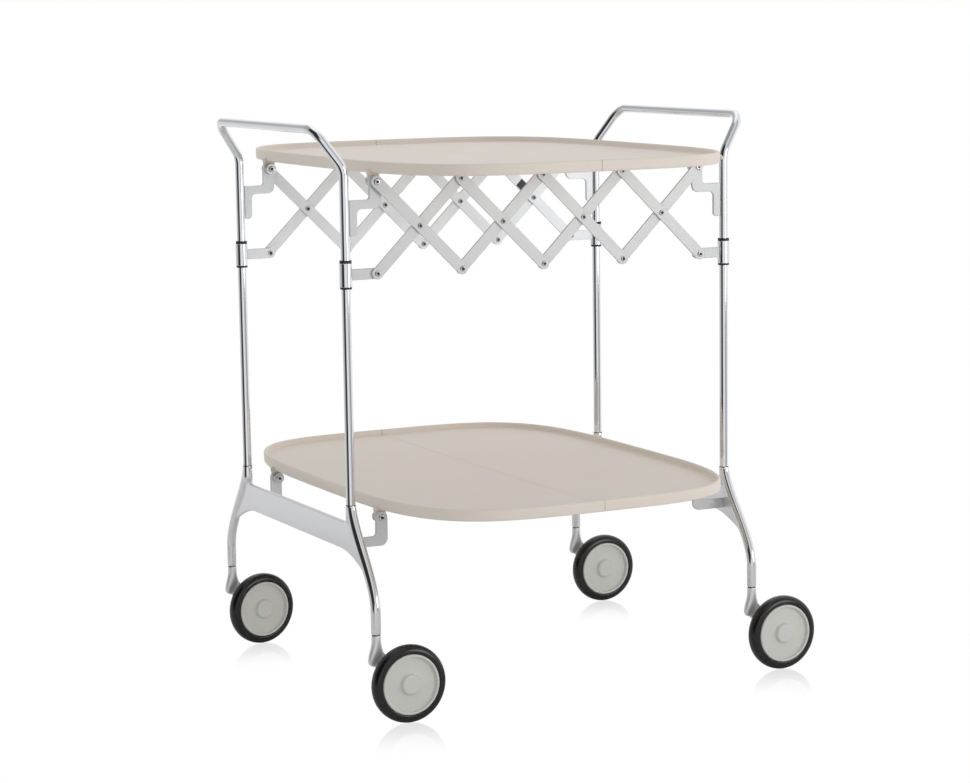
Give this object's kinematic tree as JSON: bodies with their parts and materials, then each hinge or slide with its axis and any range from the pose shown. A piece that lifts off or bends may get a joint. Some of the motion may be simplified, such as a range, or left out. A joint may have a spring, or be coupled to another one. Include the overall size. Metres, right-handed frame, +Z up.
{
  "type": "bar cart",
  "caption": "Folding bar cart: two trays hinged at a centre seam, between tube end frames with grab bars, tied by scissor links, on four swivel casters.",
  "frame": {"origin": "on the floor, under the middle of the whole cart", "axes": "+X along the cart from one grab bar to the other, +Y to the back, +Z up"},
  "size_m": [0.6355, 0.6348, 0.6998],
  "materials": {
    "chrome": "mirror-bright plated tube",
    "casting": "polished die casting",
    "satin": "satin painted light grey",
    "steel": "bright steel",
    "tray": "satin warm sand, fine moulded texture",
    "bush": "black moulded",
    "tyre": "glossy black rubber",
    "hub": "satin grey-green moulded"
  },
  "bodies": {
    "frame_left": {"handle_left": "chrome", "casting_left": "casting", "bracket_front_left": "satin", "bracket_back_left": "satin", "hook_front_left": "satin", "hook_back_left": "satin"},
    "frame_right": {"handle_right": "chrome", "casting_right": "casting", "bracket_front_right": "satin", "bracket_back_right": "satin", "hook_front_right": "satin", "hook_back_right": "satin"},
    "tray_lower_left": {"tray_lower_left": "tray", "seam_rod_lower": "steel"},
    "tray_lower_right": {"tray_lower_right": "tray"},
    "tray_upper_left": {"tray_upper_left": "tray", "seam_rod_upper": "steel"},
    "tray_upper_right": {"tray_upper_right": "tray"},
    "link_top1_front_left": {"link_top1_front_left": "satin"},
    "link_low1_front_left": {"link_low1_front_left": "satin"},
    "link_top2_front_left": {"link_top2_front_left": "satin"},
    "link_low2_front_left": {"link_low2_front_left": "satin"},
    "collar_front_left": {"collar_front_left": "satin", "bush_front_left": "bush"},
    "caster_front_left": {"caster_arm_front_left": "casting", "caster_axle_front_left": "steel"},
    "wheel_front_left": {"wheel_hub_front_left": "hub", "wheel_tyre_front_left": "tyre"},
    "link_top1_back_left": {"link_top1_back_left": "satin"},
    "link_low1_back_left": {"link_low1_back_left": "satin"},
    "link_top2_back_left": {"link_top2_back_left": "satin"},
    "link_low2_back_left": {"link_low2_back_left": "satin"},
    "collar_back_left": {"collar_back_left": "satin", "bush_back_left": "bush"},
    "caster_back_left": {"caster_arm_back_left": "casting", "caster_axle_back_left": "steel"},
    "wheel_back_left": {"wheel_hub_back_left": "hub", "wheel_tyre_back_left": "tyre"},
    "link_top1_front_right": {"link_top1_front_right": "satin"},
    "link_low1_front_right": {"link_low1_front_right": "satin"},
    "link_top2_front_right": {"link_top2_front_right": "satin"},
    "link_low2_front_right": {"link_low2_front_right": "satin"},
    "collar_front_right": {"collar_front_right": "satin", "bush_front_right": "bush"},
    "caster_front_right": {"caster_arm_front_right": "casting", "caster_axle_front_right": "steel"},
    "wheel_front_right": {"wheel_hub_front_right": "hub", "wheel_tyre_front_right": "tyre"},
    "link_top1_back_right": {"link_top1_back_right": "satin"},
    "link_low1_back_right": {"link_low1_back_right": "satin"},
    "link_top2_back_right": {"link_top2_back_right": "satin"},
    "link_low2_back_right": {"link_low2_back_right": "satin"},
    "collar_back_right": {"collar_back_right": "satin", "bush_back_right": "bush"},
    "caster_back_right": {"caster_arm_back_right": "casting", "caster_axle_back_right": "steel"},
    "wheel_back_right": {"wheel_hub_back_right": "hub", "wheel_tyre_back_right": "tyre"}
  },
  "joints": [
    {"name": "fold", "type": "hinge", "parent": "frame_left", "child": "tray_lower_left", "pos_m": [-0.24115, 0, 0.2305], "axis": [0, -1, 0], "range_deg": [0, 79.69]},
    {"name": "lower_seam", "type": "hinge", "parent": "tray_lower_left", "child": "tray_lower_right", "pos_m": [-0.02035, 0, 0.2405], "axis": [0, -1, 0], "range_deg": [-159.38, 0]},
    {"name": "lower_right_pivot", "type": "hinge", "parent": "tray_lower_right", "child": "frame_right", "pos_m": [0.20045, 0, 0.2305], "axis": [0, -1, 0], "range_deg": [0, 79.69]},
    {"name": "upper_left_pivot", "type": "hinge", "parent": "frame_left", "child": "tray_upper_left", "pos_m": [-0.24115, 0, 0.6318], "axis": [0, -1, 0], "range_deg": [0, 79.69]},
    {"name": "upper_seam", "type": "hinge", "parent": "tray_upper_left", "child": "tray_upper_right", "pos_m": [-0.02035, 0, 0.6418], "axis": [0, -1, 0], "range_deg": [-159.38, 0]},
    {"name": "top1_front_left", "type": "hinge", "parent": "frame_left", "child": "link_top1_front_left", "pos_m": [-0.24115, -0.1645, 0.6318], "axis": [0, -1, 0], "range_deg": [-40.02, 0]},
    {"name": "cross1_front_left", "type": "hinge", "parent": "link_top1_front_left", "child": "link_low1_front_left", "pos_m": [-0.18595, -0.1645, 0.5776], "axis": [0, -1, 0], "range_deg": [0, 80.03]},
    {"name": "collar_front_left_pivot", "type": "hinge", "parent": "link_low1_front_left", "child": "collar_front_left", "pos_m": [-0.24115, -0.1645, 0.5234], "axis": [0, -1, 0], "range_deg": [-40.02, 0]},
    {"name": "top2_front_left", "type": "hinge", "parent": "link_low1_front_left", "child": "link_top2_front_left", "pos_m": [-0.13075, -0.1645, 0.6318], "axis": [0, -1, 0], "range_deg": [-80.03, 0]},
    {"name": "low2_front_left", "type": "hinge", "parent": "link_top1_front_left", "child": "link_low2_front_left", "pos_m": [-0.13075, -0.1645, 0.5234], "axis": [0, -1, 0], "range_deg": [0, 80.03]},
    {"name": "swivel_front_left", "type": "hinge", "parent": "frame_left", "child": "caster_front_left", "pos_m": [-0.28035, -0.2298, 0.104], "axis": [0, 0, 1], "continuous": true},
    {"name": "spin_front_left", "type": "hinge", "parent": "caster_front_left", "child": "wheel_front_left", "pos_m": [-0.24895, -0.2502, 0.0468], "axis": [0, 1, 0], "continuous": true},
    {"name": "top1_back_left", "type": "hinge", "parent": "frame_left", "child": "link_top1_back_left", "pos_m": [-0.24115, 0.1645, 0.6318], "axis": [0, -1, 0], "range_deg": [-40.02, 0]},
    {"name": "cross1_back_left", "type": "hinge", "parent": "link_top1_back_left", "child": "link_low1_back_left", "pos_m": [-0.18595, 0.1645, 0.5776], "axis": [0, -1, 0], "range_deg": [0, 80.03]},
    {"name": "collar_back_left_pivot", "type": "hinge", "parent": "link_low1_back_left", "child": "collar_back_left", "pos_m": [-0.24115, 0.1645, 0.5234], "axis": [0, -1, 0], "range_deg": [-40.02, 0]},
    {"name": "top2_back_left", "type": "hinge", "parent": "link_low1_back_left", "child": "link_top2_back_left", "pos_m": [-0.13075, 0.1645, 0.6318], "axis": [0, -1, 0], "range_deg": [-80.03, 0]},
    {"name": "low2_back_left", "type": "hinge", "parent": "link_top1_back_left", "child": "link_low2_back_left", "pos_m": [-0.13075, 0.1645, 0.5234], "axis": [0, -1, 0], "range_deg": [0, 80.03]},
    {"name": "swivel_back_left", "type": "hinge", "parent": "frame_left", "child": "caster_back_left", "pos_m": [-0.28035, 0.2298, 0.104], "axis": [0, 0, 1], "continuous": true},
    {"name": "spin_back_left", "type": "hinge", "parent": "caster_back_left", "child": "wheel_back_left", "pos_m": [-0.24628, 0.21427, 0.0468], "axis": [-0.1478, 0.989, 0], "continuous": true},
    {"name": "top1_front_right", "type": "hinge", "parent": "frame_right", "child": "link_top1_front_right", "pos_m": [0.20045, -0.1645, 0.6318], "axis": [0, -1, 0], "range_deg": [0, 40.02]},
    {"name": "cross1_front_right", "type": "hinge", "parent": "link_top1_front_right", "child": "link_low1_front_right", "pos_m": [0.14525, -0.1645, 0.5776], "axis": [0, -1, 0], "range_deg": [-80.03, 0]},
    {"name": "collar_front_right_pivot", "type": "hinge", "parent": "link_low1_front_right", "child": "collar_front_right", "pos_m": [0.20045, -0.1645, 0.5234], "axis": [0, -1, 0], "range_deg": [0, 40.02]},
    {"name": "top2_front_right", "type": "hinge", "parent": "link_low1_front_right", "child": "link_top2_front_right", "pos_m": [0.09005, -0.1645, 0.6318], "axis": [0, -1, 0], "range_deg": [0, 80.03]},
    {"name": "low2_front_right", "type": "hinge", "parent": "link_top1_front_right", "child": "link_low2_front_right", "pos_m": [0.09005, -0.1645, 0.5234], "axis": [0, -1, 0], "range_deg": [-80.03, 0]},
    {"name": "swivel_front_right", "type": "hinge", "parent": "frame_right", "child": "caster_front_right", "pos_m": [0.23965, -0.2298, 0.104], "axis": [0, 0, 1], "continuous": true},
    {"name": "spin_front_right", "type": "hinge", "parent": "caster_front_right", "child": "wheel_front_right", "pos_m": [0.27105, -0.2502, 0.0468], "axis": [0, 1, 0], "continuous": true},
    {"name": "top1_back_right", "type": "hinge", "parent": "frame_right", "child": "link_top1_back_right", "pos_m": [0.20045, 0.1645, 0.6318], "axis": [0, -1, 0], "range_deg": [0, 40.02]},
    {"name": "cross1_back_right", "type": "hinge", "parent": "link_top1_back_right", "child": "link_low1_back_right", "pos_m": [0.14525, 0.1645, 0.5776], "axis": [0, -1, 0], "range_deg": [-80.03, 0]},
    {"name": "collar_back_right_pivot", "type": "hinge", "parent": "link_low1_back_right", "child": "collar_back_right", "pos_m": [0.20045, 0.1645, 0.5234], "axis": [0, -1, 0], "range_deg": [0, 40.02]},
    {"name": "top2_back_right", "type": "hinge", "parent": "link_low1_back_right", "child": "link_top2_back_right", "pos_m": [0.09005, 0.1645, 0.6318], "axis": [0, -1, 0], "range_deg": [0, 80.03]},
    {"name": "low2_back_right", "type": "hinge", "parent": "link_top1_back_right", "child": "link_low2_back_right", "pos_m": [0.09005, 0.1645, 0.5234], "axis": [0, -1, 0], "range_deg": [-80.03, 0]},
    {"name": "swivel_back_right", "type": "hinge", "parent": "frame_right", "child": "caster_back_right", "pos_m": [0.23965, 0.2298, 0.104], "axis": [0, 0, 1], "continuous": true},
    {"name": "spin_back_right", "type": "hinge", "parent": "caster_back_right", "child": "wheel_back_right", "pos_m": [0.27105, 0.2094, 0.0468], "axis": [0, 1, 0], "continuous": true}
  ],
  "couplings": [
    {"joint": "lower_seam", "follows": "fold", "ratio": -2},
    {"joint": "lower_right_pivot", "follows": "fold", "ratio": 1},
    {"joint": "upper_left_pivot", "follows": "fold", "ratio": 1},
    {"joint": "upper_seam", "follows": "fold", "ratio": -2},
    {"joint": "top1_front_left", "follows": "fold", "ratio": -0.5021},
    {"joint": "cross1_front_left", "follows": "fold", "ratio": 1.0042},
    {"joint": "collar_front_left_pivot", "follows": "fold", "ratio": -0.5021},
    {"joint": "top2_front_left", "follows": "fold", "ratio": -1.0042},
    {"joint": "low2_front_left", "follows": "fold", "ratio": 1.0042},
    {"joint": "top1_back_left", "follows": "fold", "ratio": -0.5021},
    {"joint": "cross1_back_left", "follows": "fold", "ratio": 1.0042},
    {"joint": "collar_back_left_pivot", "follows": "fold", "ratio": -0.5021},
    {"joint": "top2_back_left", "follows": "fold", "ratio": -1.0042},
    {"joint": "low2_back_left", "follows": "fold", "ratio": 1.0042},
    {"joint": "top1_front_right", "follows": "fold", "ratio": 0.5021},
    {"joint": "cross1_front_right", "follows": "fold", "ratio": -1.0042},
    {"joint": "collar_front_right_pivot", "follows": "fold", "ratio": 0.5021},
    {"joint": "top2_front_right", "follows": "fold", "ratio": 1.0042},
    {"joint": "low2_front_right", "follows": "fold", "ratio": -1.0042},
    {"joint": "top1_back_right", "follows": "fold", "ratio": 0.5021},
    {"joint": "cross1_back_right", "follows": "fold", "ratio": -1.0042},
    {"joint": "collar_back_right_pivot", "follows": "fold", "ratio": 0.5021},
    {"joint": "top2_back_right", "follows": "fold", "ratio": 1.0042},
    {"joint": "low2_back_right", "follows": "fold", "ratio": -1.0042}
  ]
}
